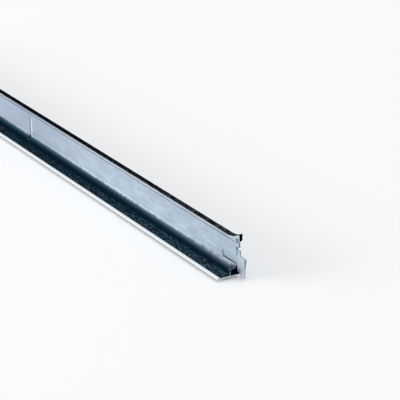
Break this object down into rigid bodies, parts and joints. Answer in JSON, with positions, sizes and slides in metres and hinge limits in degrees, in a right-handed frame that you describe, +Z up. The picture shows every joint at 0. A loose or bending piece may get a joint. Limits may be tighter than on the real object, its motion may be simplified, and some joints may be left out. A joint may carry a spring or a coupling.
{
  "type": "ceiling cross tee",
  "caption": "Roll-formed steel ceiling cross tee with a doubled web, a bulb, a white-capped ledge on one side and a spring clip in each end",
  "frame": {"origin": "middle of the length, on the underside of the white face, half way across its width", "axes": "+X along the tee, -Y towards the ledge's outer edge, +Z up to the bulb"},
  "size_m": [0.6142, 0.0201, 0.0311],
  "materials": {
    "galvanised_steel": "hot-dip galvanised, fine spangle",
    "white_coated_steel": "satin white coil coating",
    "spring_steel": "zinc plated, satin"
  },
  "bodies": {
    "root": {"tee_body": "galvanised_steel", "face_cap": "white_coated_steel", "end_clip_a": "spring_steel", "end_clip_b": "spring_steel"}
  },
  "joints": []
}
